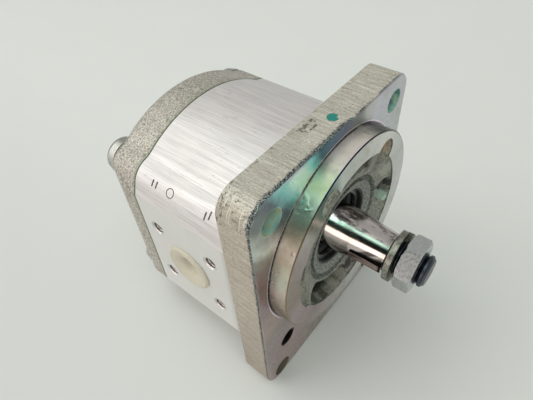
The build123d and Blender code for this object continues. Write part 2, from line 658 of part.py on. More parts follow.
# ---------------------------------------------------------------- housing hardware
def through_bolt(x, z):
    """M8 socket-head screw from the rear cover into the flange."""
    seat_y = BOLT_SEAT_Y + WASHER_THICKNESS
    head_end = seat_y + BOLT_HEAD_HEIGHT
    screw = turned([
        (0, BOLT_TIP_Y), (BOLT_SHANK_R - 1.0, BOLT_TIP_Y), (BOLT_SHANK_R, BOLT_TIP_Y + 1.0),
        (BOLT_SHANK_R, seat_y), (BOLT_HEAD_R - 0.2, seat_y), (BOLT_HEAD_R, seat_y + 0.2),
        (BOLT_HEAD_R, head_end - 2.0), (BOLT_HEAD_R - 0.2, head_end - 1.1),
        (BOLT_HEAD_R - 0.8, head_end - 0.4), (BOLT_HEAD_R - 1.8, head_end), (0, head_end),
    ], x, z)
    socket = Pos(x, z) * RegularPolygon(BOLT_SOCKET_AF / sqrt(3), 6)
    return screw - slab(socket, head_end - BOLT_SOCKET_DEPTH, head_end + 1)


def bolt_washer(x, z):
    return ring(WASHER_R, BOLT_HOLE_R, BOLT_SEAT_Y, BOLT_SEAT_Y + WASHER_THICKNESS, x, z)


def dowel_pin(x, z, joint_y):
    reach = DOWEL_DEPTH - 0.2
    return turned([(0, joint_y - reach), (DOWEL_R - 0.5, joint_y - reach),
                   (DOWEL_R - 0.02, joint_y - reach + 0.5), (DOWEL_R - 0.02, joint_y + reach - 0.5),
                   (DOWEL_R - 0.5, joint_y + reach), (0, joint_y + reach)], x, z)


def port_plug(side):
    """Plastic transport plug: a hollow skirt in the port and a rim on the port face."""
    rim_r = PLUG_RIM_R
    skirt_r = PLUG_SKIRT_R
    dimple_r = PLUG_DIMPLE_R
    floor_y = 1.0 - PLUG_DIMPLE_DEPTH
    plug = turned([
        (0, floor_y), (dimple_r - 1.4, floor_y), (dimple_r - 0.9, floor_y + 0.4),
        (dimple_r, -0.6), (dimple_r + 0.9, 0.1), (PLUG_DISH_R - 1.2, 0.7), (PLUG_DISH_R, 1.0),
        (rim_r - 0.4, 1.0), (rim_r, 0.6), (rim_r, 0.02),
        (skirt_r, 0.02), (skirt_r, -8.5), (skirt_r - 0.6, -9.0), (skirt_r - 1.4, -9.0),
        (skirt_r - 1.6, -0.9), (dimple_r + 2.0, -1.2), (dimple_r + 0.8, floor_y - 1.4),
        (0, floor_y - 1.4),
    ])
    return Pos(side * BODY_HALF_WIDTH, GEAR_MID_Y, MID_Z) * Rot(0, 0, -side * 90) * plug


# ---------------------------------------------------------------- the pump
def main():
    save(front_cover(), "front_cover")
    save(pump_body(), "pump_body")
    save(rear_cover(), "rear_cover")
    save(drive_gear_shaft(), "drive_gear_shaft")
    save(driven_gear_shaft(), "driven_gear_shaft")
    front_groove = (FRONT_BLOCK[0] - 1, FRONT_BLOCK[0] + PRESSURE_GROOVE_DEPTH)
    rear_groove = (REAR_BLOCK[1] - PRESSURE_GROOVE_DEPTH, REAR_BLOCK[1] + 1)
    save(bearing_block(FRONT_BLOCK, *front_groove), "front_bearing_block")
    save(bearing_block(REAR_BLOCK, *rear_groove), "rear_bearing_block")
    for end, span in (("front", FRONT_BLOCK), ("rear", REAR_BLOCK)):
        save(bush(span, 0), f"{end}_drive_bush")
        save(bush(span, DRIVEN_Z), f"{end}_driven_bush")
    seal_face = pressure_seal_face(PRESSURE_SEAL_WIDTH)
    front_y = FRONT_BLOCK[0]
    rear_y = REAR_BLOCK[1]
    seal = PRESSURE_SEAL_THICKNESS
    backup_start = seal + 0.05
    backup_end = backup_start + BACKUP_RING_THICKNESS
    save(slab(seal_face, front_y, front_y + seal), "front_pressure_seal")
    save(slab(seal_face, front_y + backup_start, front_y + backup_end), "front_backup_ring")
    save(slab(seal_face, rear_y - seal, rear_y), "rear_pressure_seal")
    save(slab(seal_face, rear_y - backup_end, rear_y - backup_start), "rear_backup_ring")
    save(face_seal(BODY_START_Y + SEAL_GROOVE_DEPTH / 2), "front_body_seal")
    save(face_seal(BODY_END_Y - SEAL_GROOVE_DEPTH / 2), "rear_body_seal")
    save(shaft_seal_case(), "shaft_seal_case")
    save(shaft_seal_lip(), "shaft_seal_lip")
    save(seal_garter_spring(), "seal_garter_spring")
    save(seal_retaining_ring(), "seal_retaining_ring")
    save(key_disc(), "woodruff_key")
    save(lock_washer(), "lock_washer")
    save(shaft_nut(), "shaft_nut")
    save(Compound([through_bolt(x, z) for x, z in BOLT_PLACES]), "through_bolts")
    save(Compound([bolt_washer(x, z) for x, z in BOLT_PLACES]), "bolt_washers")
    dowels = [dowel_pin(x, z, y) for x, z in DOWEL_PLACES for y in (BODY_START_Y, BODY_END_Y)]
    save(Compound(dowels), "dowel_pins")
    save(port_plug(-1), "left_port_plug")
    save(port_plug(1), "right_port_plug")


main()
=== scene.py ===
import json
import math

import bpy
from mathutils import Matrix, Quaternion, Vector, noise as mnoise


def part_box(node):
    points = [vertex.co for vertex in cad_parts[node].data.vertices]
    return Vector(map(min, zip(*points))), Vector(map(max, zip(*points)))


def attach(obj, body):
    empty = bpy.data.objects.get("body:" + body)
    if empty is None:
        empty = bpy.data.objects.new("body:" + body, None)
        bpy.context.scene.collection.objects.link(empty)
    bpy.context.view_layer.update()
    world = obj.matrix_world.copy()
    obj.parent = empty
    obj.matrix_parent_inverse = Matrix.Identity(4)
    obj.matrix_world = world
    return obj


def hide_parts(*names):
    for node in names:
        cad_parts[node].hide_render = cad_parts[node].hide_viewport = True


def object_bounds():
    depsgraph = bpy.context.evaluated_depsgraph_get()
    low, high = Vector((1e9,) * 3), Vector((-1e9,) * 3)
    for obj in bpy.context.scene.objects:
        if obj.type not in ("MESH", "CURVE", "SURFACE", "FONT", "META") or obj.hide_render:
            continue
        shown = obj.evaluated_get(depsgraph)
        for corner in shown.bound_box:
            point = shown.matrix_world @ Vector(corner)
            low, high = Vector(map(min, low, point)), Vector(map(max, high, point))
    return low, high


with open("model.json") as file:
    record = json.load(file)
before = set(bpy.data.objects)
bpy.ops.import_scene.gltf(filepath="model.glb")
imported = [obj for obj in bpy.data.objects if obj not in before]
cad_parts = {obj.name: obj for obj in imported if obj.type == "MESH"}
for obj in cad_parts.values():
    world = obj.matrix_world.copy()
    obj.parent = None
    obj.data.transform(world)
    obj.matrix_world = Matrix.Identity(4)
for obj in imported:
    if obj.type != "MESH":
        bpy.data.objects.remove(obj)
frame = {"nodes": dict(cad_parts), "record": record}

# Hydraulic gear pump, in metres, in the row frame: the drive shaft's axis is Y and its end
# points to -Y, +Z is up and the ports face -X and +X. The origin is on the mounting face.

CAD_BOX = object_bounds()
MM = 0.001
NODES = frame["nodes"]


# ---------------------------------------------------------------- places read from the frame
COVER_LOW, COVER_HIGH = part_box("front_cover")
BODY_LOW, BODY_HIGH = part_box("pump_body")
REAR_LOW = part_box("rear_cover")[0]
MOUNTS = {m["name"]: m for m in frame["record"]["mounts"]}
PILOT_R = MOUNTS["pilot"]["dims"]["r_mm"] * MM
PILOT_FRONT_Y = COVER_LOW.y
RECESS_R = 0.775 * PILOT_R
SEAL_BORE_R = 15 * MM
PORT_CENTRE = Vector(MOUNTS["left_port_bolts"]["pos_m"])
PORT_HOLE_R = MOUNTS["left_port_bolts"]["dims"]["hole_r_mm"] * MM
PORT_CIRCLE_R = MOUNTS["left_port_bolts"]["dims"]["pcd_mm"] / 2 * MM
FLANGE_TOP = COVER_HIGH.z
HOLE_X = MOUNTS["upper_flange_bolts"]["dims"]["spacing_x_mm"] / 2 * MM
HOLE_R = MOUNTS["upper_flange_bolts"]["dims"]["hole_r_mm"] * MM
UPPER_HOLE_Z = MOUNTS["upper_flange_bolts"]["pos_m"][2]
LOWER_HOLE_Z = MOUNTS["lower_flange_bolts"]["pos_m"][2]
FLANGE_BACK_Y = BODY_LOW.y
BOLT_X = 31 * MM
BOLTS_LOW, BOLTS_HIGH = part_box("through_bolts")
LOWER_BOLT_Z = BOLTS_LOW.z + (BOLTS_HIGH.x - BOLT_X)
BOLT_R = 4 * MM
TAPER_FOOT_Y = -7 * MM
TAPER_LEAN = 0.0995
TAPER_END_Y = -24 * MM
COLLAR_R = 21.8 * MM
LOBE_R = 9.7 * MM
LOBE_X, LOBE_Z = -30.6 * MM, 14.8 * MM

# colours round the shaft axis: the plated face's iridescent tint, with reflections, highlights and shade
# painted into the face, wall and ring colours; degrees from +X towards +Z, then 0-255 display levels
FACE_COLOURS = [
    (-80, 200, 196, 194), (30, 190, 192, 194), (50, 192, 193, 200), (60, 199, 197, 208),
    (68, 192, 193, 189), (76, 155, 156, 154), (88, 133, 141, 165), (98, 105, 135, 156),
    (106, 80, 122, 136), (111, 168, 255, 255), (115, 238, 255, 255), (121, 238, 255, 255),
    (126, 183, 252, 251), (131, 140, 151, 164), (139, 141, 150, 145), (143, 191, 198, 194),
    (148, 226, 234, 229), (152, 167, 162, 155), (158, 157, 139, 138), (168, 151, 128, 125),
    (178, 166, 141, 140), (188, 171, 151, 153), (204, 190, 171, 163), (220, 173, 159, 159),
    (240, 189, 166, 166), (262, 180, 170, 164),
]
WALL_COLOURS = [
    (-80, 170, 165, 158), (50, 73, 73, 67), (66, 92, 88, 81), (74, 200, 198, 186), (82, 241, 234, 225),
    (100, 255, 248, 237), (105, 216, 217, 199), (110, 175, 184, 163), (117, 150, 166, 133),
    (124, 161, 186, 167), (131, 217, 248, 223), (136, 177, 187, 167), (141, 138, 134, 120),
    (148, 182, 172, 159), (155, 215, 206, 187), (164, 213, 217, 199), (172, 206, 191, 181),
    (180, 177, 165, 149), (188, 138, 129, 108), (204, 147, 127, 120), (228, 184, 166, 163),
    (262, 180, 168, 164),
]
RING_COLOURS = [
    (-80, 208, 208, 205), (-30, 212, 213, 211), (0, 211, 209, 209), (30, 190, 192, 190),
    (60, 216, 215, 210), (90, 204, 206, 200), (108, 202, 210, 202), (116, 114, 134, 123),
    (124, 111, 130, 119), (135, 196, 196, 185), (150, 180, 170, 168), (165, 169, 157, 151),
    (182, 161, 145, 133), (196, 178, 160, 161), (225, 163, 146, 145), (245, 183, 171, 167),
    (262, 196, 192, 188),
]
RIM_COLOURS = [
    (-80, 120, 110, 100), (70, 70, 70, 72), (100, 26, 40, 90), (118, 30, 50, 86), (132, 104, 88, 68),
    (170, 148, 126, 102), (230, 130, 108, 90),
]
# patches of painted shade and painted highlight in the cast recess, darker in its pockets and lighter on lit
# slopes: x, z and reach in mm, strength, colour
RECESS_SHADE_AND_HIGHLIGHTS = [
    (12, 24, 4.0, 0.7, (84, 82, 74)), (26, 12, 5.0, 0.5, (190, 196, 184)),
    (30.6, 1.2, 2.6, 0.85, (40, 40, 38)), (28.4, -5.3, 3.0, 0.8, (206, 232, 212)),
    (-13.6, -27.2, 3.2, 0.7, (70, 66, 62)), (-19.9, -23.8, 3.2, 0.7, (72, 70, 64)),
    (-5.1, -30.1, 2.6, 0.7, (196, 192, 178)), (0.2, -29.9, 2.6, 0.6, (190, 188, 176)),
    (4.5, -25.9, 3.6, 0.9, (40, 34, 42)), (21.3, 3.2, 2.4, 0.7, (70, 72, 66)),
    (-10.4, -15.7, 3.0, 0.6, (78, 76, 70)), (-15.8, 23.8, 2.2, 0.55, (212, 214, 202)),
]


def turn_share(deg):
    """Degrees from +X towards +Z as a clock position from 0 to 1."""
    return 0.5 + (deg - 90) / 360


def srgb(*levels):
    """Linear colour from 0-255 display levels."""
    return tuple((v / 255) ** 2.2 for v in levels)


# ---------------------------------------------------------------- node materials
class Shader:
    """A Principled material with short calls for the nodes that feed it."""

    def __init__(self, name, metallic=0.0):
        self.material = bpy.data.materials.new(name)
        self.material.use_nodes = True
        self.tree = self.material.node_tree
        self.main = self.tree.nodes["Principled BSDF"]
        self.coords = self.tree.nodes.new("ShaderNodeTexCoord")
        self.place = self.coords.outputs["Object"]
        self.main.inputs["Metallic"].default_value = metallic
        self._xyz = None
        self._normal = None

    def feed(self, socket, value):
        if isinstance(value, bpy.types.NodeSocket):
            self.tree.links.new(value, socket)
        elif hasattr(value, "__len__") and len(value) == 3 and socket.type == "RGBA":
            socket.default_value = (*value, 1.0)
        else:
            socket.default_value = value

    def node(self, kind, inputs=(), **settings):
        made = self.tree.nodes.new(kind)
        for name, value in settings.items():
            setattr(made, name, value)
        for name, value in dict(inputs).items():
            self.feed(made.inputs[name], value)
        return made

    def calc(self, operation, a, b=0.0, c=0.0):
        made = self.node("ShaderNodeMath", {0: a, 1: b, 2: c}, operation=operation)
        return made.outputs[0]

    def axis(self, letter):
        if self._xyz is None:
            self._xyz = self.node("ShaderNodeSeparateXYZ", {"Vector": self.place})
        return self._xyz.outputs[letter]

    def facing(self, letter):
        """The surface normal's share along an axis, signed, in the object's own frame."""
        if self._normal is None:
            self._normal = self.node("ShaderNodeSeparateXYZ", {"Vector": self.coords.outputs["Normal"]})
        return self._normal.outputs[letter]

    def stretched(self, scale):
        made = self.node("ShaderNodeMapping", {"Vector": self.place, "Scale": scale})
        return made.outputs[0]

    def noise(self, size_mm, detail=3.0, rough=0.5, stretch=(1, 1, 1)):
        """Noise from 0 to 1 whose features are about size_mm, times stretch along each axis."""
        made = self.node("ShaderNodeTexNoise", {
            "Vector": self.stretched([1 / (size_mm * MM * s) for s in stretch]), "Scale": 1.0,
            "Detail": detail, "Roughness": rough, "Distortion": 0.0})
        return made.outputs["Fac"]

    def cells(self, size_mm):
        """Distance to the nearest of some scattered points, in steps of size_mm."""
        made = self.node("ShaderNodeTexVoronoi", {
            "Vector": self.stretched([1 / (size_mm * MM)] * 3), "Scale": 1.0, "Randomness": 1.0})
        return made.outputs["Distance"]

    def span(self, value, low, high, out_low=0.0, out_high=1.0, smooth=True):
        """value from low..high mapped to out_low..out_high, clamped."""
        made = self.node("ShaderNodeMapRange", {
            "Value": value, "From Min": low, "From Max": high, "To Min": out_low,
            "To Max": out_high}, interpolation_type="SMOOTHSTEP" if smooth else "LINEAR")
        return made.outputs["Result"]

    def within(self, value, low, high, soft):
        """1 between low and high, fading to 0 over soft on both sides."""
        return self.calc("MULTIPLY", self.span(value, low - soft, low),
                         self.span(value, high + soft, high))

    def product(self, *values):
        total = values[0]
        for value in values[1:]:
            total = self.calc("MULTIPLY", total, value)
        return total

    def inverse(self, mask):
        return self.calc("SUBTRACT", 1.0, mask)

    def mix(self, factor, a, b, blend="MIX"):
        made = self.node("ShaderNodeMix", data_type="RGBA", blend_type=blend)
        self.feed(made.inputs[0], factor)
        self.feed(made.inputs[6], a)
        self.feed(made.inputs[7], b)
        return made.outputs[2]

    def blend(self, factor, a, b):
        """A number between a and b."""
        made = self.node("ShaderNodeMix", data_type="FLOAT")
        self.feed(made.inputs[0], factor)
        self.feed(made.inputs[2], a)
        self.feed(made.inputs[3], b)
        return made.outputs[0]

    def ramp(self, value, stops):
        """Colours along value: stops is a list of (position, colour)."""
        made = self.node("ShaderNodeValToRGB", {"Fac": value})
        line = made.color_ramp
        while len(line.elements) < len(stops):
            line.elements.new(0.5)
        for element, (position, colour) in zip(line.elements, stops):
            element.position = position
            element.color = (*colour, 1.0)
        return made.outputs["Color"]

    def length(self, a, b):
        return self.calc("SQRT", self.calc("ADD", self.calc("MULTIPLY", a, a),
                                           self.calc("MULTIPLY", b, b)))

    def radius(self, x=0.0, z=0.0):
        """Distance from an axis along Y through (x, z)."""
        return self.length(self.calc("SUBTRACT", self.axis("X"), x),
                           self.calc("SUBTRACT", self.axis("Z"), z))

    def from_pair(self, x, z):
        """Distance from the nearer of two axes along Y, through (x, z) and (-x, z)."""
        return self.length(self.calc("SUBTRACT", self.calc("ABSOLUTE", self.axis("X")), x),
                           self.calc("SUBTRACT", self.axis("Z"), z))

    def sector(self, clock, low_deg, high_deg, soft):
        """1 between two angles given as degrees from +X towards +Z, fading over a soft share of a turn."""
        return self.within(clock, turn_share(low_deg), turn_share(high_deg), soft)

    def clock(self):
        """Angle about the Y axis as 0.25 at +X, 0.5 at +Z, 0.75 at -X and 0 or 1 at -Z."""
        back = self.calc("MULTIPLY", self.axis("X"), -1.0)
        angle = self.calc("ARCTAN2", back, self.axis("Z"))
        return self.calc("MULTIPLY_ADD", angle, 1 / math.tau, 0.5)

    def round_ramp(self, clock, stops):
        """Colours round the Y axis, closed at -Z: stops is a list of (degrees, red, green, blue)."""
        around = [(turn_share(deg), srgb(*levels)) for deg, *levels in stops]
        joint = [(a + b) / 2 for a, b in zip(around[0][1], around[-1][1])]
        return self.ramp(clock, [(turn_share(-90), joint)] + around + [(turn_share(270), joint)])

    def bump(self, height, depth_mm, strength=1.0, under=None):
        made = self.node("ShaderNodeBump", {
            "Height": height, "Distance": depth_mm * MM, "Strength": strength})
        if under is not None:
            self.tree.links.new(under, made.inputs["Normal"])
        return made.outputs["Normal"]

    def leaned(self, y):
        """A normal that leans towards -Y near the seal and, like the taper's, beyond its foot."""
        lean = self.calc("ADD", self.span(y, -10 * MM, -1 * MM, 0.0, -0.27, smooth=False),
                         self.span(y, TAPER_FOOT_Y - 0.1 * MM, TAPER_FOOT_Y + 0.1 * MM, 0.0, -TAPER_LEAN))
        push = self.node("ShaderNodeCombineXYZ", {"Y": lean}).outputs[0]
        normal = self.node("ShaderNodeNewGeometry").outputs["Normal"]
        leaning = self.node("ShaderNodeVectorMath", {0: normal, 1: push}, operation="ADD").outputs[0]
        return self.node("ShaderNodeVectorMath", {0: leaning}, operation="NORMALIZE").outputs[0]

    def brushed(self, amount, turn=0.0):
        """Stretch highlights round the Y axis, or across that with a turn of 0.25."""
        tangent = self.node("ShaderNodeTangent", direction_type="RADIAL", axis="Y")
        self.tree.links.new(tangent.outputs[0], self.main.inputs["Tangent"])
        self.feed(self.main.inputs["Anisotropic"], amount)
        self.main.inputs["Anisotropic Rotation"].default_value = turn

    def finish(self, colour=None, rough=None, normal=None, metallic=None):
        for name, value in (("Base Color", colour), ("Roughness", rough), ("Normal", normal),
                            ("Metallic", metallic)):
            if value is not None:
                self.feed(self.main.inputs[name], value)
        return self.material


def dress(material, *names):
    """Give CAD nodes a material."""
    for name in names:
        mesh = NODES[name].data
        mesh.materials.clear()
        mesh.materials.append(material)


# ---------------------------------------------------------------- the flange
def milled_sides(s):
    """Fine tool lines across the thickness, pits, grime, a ragged dark lip along the front edge with painted
    glints in it, and painted shade on the end faces.

    Gives the colour, the tool lines and the worn places."""
    x, y, z = s.axis("X"), s.axis("Y"), s.axis("Z")
    lines = s.noise(0.24, 3.0, 0.65, (1, 34, 1))
    sand = s.noise(0.34, 3.0, 0.7, (1, 2, 1))
    line_tone = s.span(s.calc("MULTIPLY_ADD", sand, 0.5, s.calc("MULTIPLY", lines, 0.7)), 0.46, 0.74,
                       smooth=False)
    broad = s.noise(6, 3.0, 0.6, (1, 2, 1))
    patch = s.noise(14, 4.0, 0.6)
    milled = s.mix(line_tone, srgb(142, 135, 121), srgb(230, 225, 213))
    milled = s.mix(s.span(broad, 0.35, 0.7, 0, 0.4), milled, srgb(196, 189, 177))
    milled = s.mix(s.span(patch, 0.55, 0.75, 0, 0.4), milled, srgb(175, 171, 163))
    ends = s.span(s.calc("ABSOLUTE", s.facing("X")), 0.6, 0.8)
    # painted shade: the end faces are made a little darker, more so towards the bottom
    milled = s.mix(ends, milled,
                   s.mix(s.span(z, 0, -60 * MM), srgb(246, 241, 238), srgb(222, 214, 210)), "MULTIPLY")
    pits = s.span(s.cells(0.8), 0.2, 0.08)
    pits = s.product(pits, s.span(s.noise(3), 0.38, 0.54))
    milled = s.mix(s.calc("MULTIPLY", pits, 0.8), milled, srgb(66, 60, 50))
    grime_noise = s.noise(1.5, 6.0, 0.78)
    near_back = s.span(y, FLANGE_BACK_Y - 4.5 * MM, FLANGE_BACK_Y - 0.3 * MM, 0.0, 0.06)
    near_corner = s.product(s.span(x, -37 * MM, -43 * MM), s.span(z, 31 * MM, 37 * MM))
    near_smudge = s.product(s.within(x, -7 * MM, -2 * MM, 3 * MM), s.within(y, 8.2 * MM, 10.6 * MM, 1.4 * MM),
                            s.span(z, 40 * MM, 42 * MM))
    near_face = s.span(y, 4.2 * MM, 0.4 * MM, 0.0, 0.05)
    bias = s.calc("ADD", s.calc("ADD", near_back, near_face),
                  s.calc("ADD", s.calc("MULTIPLY", near_corner, 0.07), s.calc("MULTIPLY", near_smudge, 0.14)))
    grime = s.span(s.calc("ADD", grime_noise, bias), 0.635, 0.69)
    milled = s.mix(s.calc("MULTIPLY", grime, 0.78), milled, srgb(78, 72, 60))
    scratch = s.span(s.noise(0.3, 2.0, 0.7, (30, 1, 30)), 0.56, 0.64)
    scratch = s.product(scratch, near_corner)
    milled = s.mix(s.calc("MULTIPLY", scratch, 0.8), milled, srgb(236, 230, 214))

    # ragged dark lip where the sides meet the front
    ragged = s.noise(0.9, 4.0, 0.75)
    reach_top = s.product(s.span(z, FLANGE_TOP - 12 * MM, FLANGE_TOP - 6 * MM), s.span(x, 9 * MM, 1 * MM))
    reach_top = s.calc("MAXIMUM", reach_top, s.calc("MULTIPLY", ends, 0.55))
    reach = s.blend(reach_top, 1.0 * MM, 2.3 * MM)
    edge_depth = s.calc("DIVIDE", y, reach)
    patchy = s.span(s.noise(5, 2.0), s.blend(reach_top, 0.42, 0.1), s.blend(reach_top, 0.55, 0.2))
    ragged_edge = s.span(s.calc("SUBTRACT", edge_depth, s.calc("MULTIPLY", ragged, 1.4)), 0.25, -0.05)
    ragged_edge = s.product(ragged_edge, patchy)
    # light specks in the dark lip are painted glints
    glint_specks = s.span(s.noise(0.4, 2.0, 0.7), 0.48, 0.6)
    edge_tone = s.mix(glint_specks, srgb(30, 38, 42), srgb(158, 166, 160))
    milled = s.mix(ragged_edge, milled, edge_tone)
    wear = s.calc("MAXIMUM", pits, s.calc("MAXIMUM", ragged_edge, grime))
    return milled, lines, wear


def plating_and_reflections(s, clock, radius, wall, ring):
    """Iridescent plated front face, pilot's wall and ring face, with reflections, highlights and shade
    painted into their colour round the axis, painted shade in the crease at the pilot's root and a painted
    highlight beside it.

    Gives the colour and the blotches that also vary its roughness."""
    y = s.axis("Y")
    forward = s.span(s.facing("Y"), -0.45, -0.8)
    face = s.round_ramp(clock, FACE_COLOURS)
    round_wall = s.round_ramp(clock, WALL_COLOURS)
    flat_ring = s.round_ramp(clock, RING_COLOURS)
    film_and_reflections = s.mix(wall, face, round_wall)
    film_and_reflections = s.mix(s.product(ring, forward, s.inverse(wall)), film_and_reflections, flat_ring)
    blotch = s.noise(5, 4.0, 0.6)
    film_and_reflections = s.mix(s.span(blotch, 0.5, 0.75, 0, 0.3), film_and_reflections, srgb(206, 196, 168), "MULTIPLY")
    film_and_reflections = s.mix(s.span(s.noise(3.1, 3.0, 0.6), 0.56, 0.72, 0, 0.3), film_and_reflections, srgb(216, 200, 218), "MULTIPLY")
    film_and_reflections = s.mix(s.product(s.span(s.noise(0.8, 3.0, 0.7), 0.66, 0.74), 0.5), film_and_reflections, srgb(60, 66, 60))
    rim = s.product(s.within(radius, PILOT_R - 0.42 * MM, PILOT_R - 0.06 * MM, 0.05 * MM),
                    s.span(y, PILOT_FRONT_Y + 0.5 * MM, PILOT_FRONT_Y + 0.38 * MM))
    rim_tone = s.round_ramp(clock, RIM_COLOURS)
    film_and_reflections = s.mix(rim, film_and_reflections, rim_tone)
    low_y = s.span(y, -0.25 * MM, -0.1 * MM)
    # painted shade in the crease at the pilot's root
    root_crease_shade = s.product(s.within(radius, PILOT_R - 0.02 * MM, PILOT_R + 0.4 * MM, 0.06 * MM), low_y)
    film_and_reflections = s.mix(s.calc("MULTIPLY", root_crease_shade, 0.8), film_and_reflections, srgb(48, 42, 54))
    # painted highlight on the edge just outside that crease
    root_highlight = s.product(s.within(radius, PILOT_R + 0.6 * MM, PILOT_R + 1.05 * MM, 0.12 * MM), low_y)
    film_and_reflections = s.mix(root_highlight, film_and_reflections, srgb(255, 238, 255))
    return film_and_reflections, blotch


def cast_recess(s, clock, radius):
    """Grainy casting with painted shade deeper in its pockets, patches of painted shade and painted
    highlight, a brown patch, a painted highlight inside the ring's edge, and a smoother collar round a bore
    painted near black as shade.

    Gives the colour and the grain."""
    y = s.axis("Y")
    grain = s.noise(0.9, 5.0, 0.65)
    cloud = s.noise(5, 4.0, 0.6)
    cast = s.ramp(grain, [(0.3, srgb(88, 86, 78)), (0.45, srgb(142, 140, 130)),
                          (0.58, srgb(166, 164, 153)), (0.72, srgb(206, 206, 194))])
    cast = s.mix(s.span(cloud, 0.45, 0.7, 0, 0.7), cast, srgb(118, 124, 116))
    # painted shade, darker deeper in the pockets
    deep_shade = s.span(y, PILOT_FRONT_Y + 3.2 * MM, PILOT_FRONT_Y + 6.2 * MM)
    cast = s.mix(s.calc("MULTIPLY", deep_shade, 0.82), cast, srgb(40, 48, 46))
    brown = s.product(s.sector(clock, 42, 62, 0.01),
                      s.span(radius, RECESS_R, RECESS_R + 1.5 * MM))
    cast = s.mix(s.product(brown, s.span(grain, 0.36, 0.6, 0.25, 0.8)), cast, srgb(188, 168, 142))
    # painted highlight on the lit web just inside the ring's edge
    lit_web = s.product(s.sector(clock, 108, 128, 0.01),
                      s.span(radius, RECESS_R - 3 * MM, RECESS_R))
    cast = s.mix(s.calc("MULTIPLY", lit_web, s.span(grain, 0.4, 0.6)), cast, srgb(196, 206, 190))
    drift = s.calc("MULTIPLY", s.calc("SUBTRACT", s.noise(2.2, 4.0, 0.65), 0.5), 7 * MM)
    # patches of painted shade and painted highlight
    for spot_x, spot_z, reach_mm, amount, colour in RECESS_SHADE_AND_HIGHLIGHTS:
        away = s.calc("ADD", s.radius(spot_x * MM, spot_z * MM), drift)
        cast = s.mix(s.span(away, reach_mm * MM, reach_mm * 0.45 * MM, 0, amount), cast, srgb(*colour))
    smooth_collar = s.span(radius, COLLAR_R + 0.8 * MM, COLLAR_R)
    collar_tone = s.mix(s.span(grain, 0.35, 0.65), srgb(96, 98, 94), srgb(172, 176, 168))
    cast = s.mix(smooth_collar, cast, collar_tone)
    # painted shade: the bore's mouth is made near black
    bore_shade = s.span(radius, SEAL_BORE_R + 1.4 * MM, SEAL_BORE_R + 0.3 * MM)
    cast = s.mix(s.calc("MULTIPLY", bore_shade, 0.92), cast, srgb(10, 14, 17))
    return cast, grain


def plated_iron():
    """Milled sides, an iridescent plated front and pilot with painted reflections, and a dull cast recess,
    with painted shade in the recess, bores and threaded holes.
    """
    s = Shader("plated_iron", metallic=0.9)
    y = s.axis("Y")
    radius = s.radius()
    wobble = s.noise(9, 3.0, 0.55)
    clock = s.calc("MULTIPLY_ADD", s.calc("SUBTRACT", wobble, 0.5), 0.035, s.clock())

    proud = s.span(y, -0.05 * MM, -0.3 * MM)
    wall = s.product(s.span(radius, PILOT_R - 0.7 * MM, PILOT_R - 0.5 * MM), proud)
    inside = s.span(radius, RECESS_R + 0.15 * MM, RECESS_R - 0.05 * MM)
    pocket_depth = s.span(y, PILOT_FRONT_Y + 0.25 * MM, PILOT_FRONT_Y + 0.7 * MM)
    hollow = s.product(s.span(radius, PILOT_R - 1.5 * MM, PILOT_R - 2 * MM),
                       s.calc("MAXIMUM", inside, pocket_depth))
    ring = s.product(s.span(radius, PILOT_R + 0.3 * MM, PILOT_R), proud)
    side = s.span(s.calc("ABSOLUTE", s.facing("Y")), 0.75, 0.6)

    milled, lines, wear = milled_sides(s)
    film_and_reflections, blotch = plating_and_reflections(s, clock, radius, wall, ring)
    cast, grain = cast_recess(s, clock, radius)

    # bores through the flange take the plated faces' green and violet, painted darker deeper in as shade
    bore_turn = s.noise(6, 2.0, 0.5)
    bore = s.ramp(bore_turn, [(0.3, srgb(130, 150, 176)), (0.42, srgb(164, 210, 200)),
                              (0.52, srgb(200, 232, 214)), (0.62, srgb(220, 220, 184)),
                              (0.72, srgb(206, 176, 186))])
    bore = s.mix(s.span(y, 1.5 * MM, 9 * MM, 0, 0.75), bore, srgb(70, 92, 78))
    in_hole = s.span(s.from_pair(HOLE_X, UPPER_HOLE_Z), HOLE_R + 0.3 * MM, HOLE_R + 0.05 * MM)
    in_low_hole = s.span(s.from_pair(HOLE_X, LOWER_HOLE_Z), HOLE_R + 0.3 * MM, HOLE_R + 0.05 * MM)
    in_thread = s.product(s.span(s.from_pair(BOLT_X, LOWER_BOLT_Z), BOLT_R + 0.5 * MM, BOLT_R + 0.2 * MM),
                          s.span(y, 0.2 * MM, 0.5 * MM))

    tone = s.mix(side, film_and_reflections, milled)
    tone = s.mix(wall, tone, film_and_reflections)
    tone = s.mix(in_hole, tone, bore)
    tone = s.mix(in_low_hole, tone, srgb(122, 116, 100))
    # painted shade: the threaded holes are made near black inside
    tone = s.mix(in_thread, tone, srgb(14, 14, 14))
    tone = s.mix(hollow, tone, cast)

    plated = s.product(s.inverse(s.product(side, s.inverse(wall))), s.inverse(hollow))
    rough = s.blend(plated, s.span(lines, 0.2, 0.8, 0.42, 0.6), s.span(blotch, 0.3, 0.7, 0.26, 0.38))
    rough = s.blend(in_hole, rough, 0.45)
    metal = s.blend(plated, 0.35, 0.92)
    metal = s.blend(in_hole, metal, 0.45)
    metal = s.blend(hollow, metal, 0.45)
    s.brushed(s.calc("MULTIPLY", plated, 0.8), 0.25)
    turning = s.noise(0.22, 2.0, 0.5)
    low = s.bump(s.mix(side, turning, lines), 0.03, 0.6)
    worn = s.bump(s.calc("MULTIPLY", wear, -1.0), 0.12, s.calc("MULTIPLY", side, 0.8), under=low)
    coarse = s.bump(grain, 0.5, s.calc("MULTIPLY", hollow, 0.7), under=worn)
    return s.finish(tone, rough, coarse, metal)


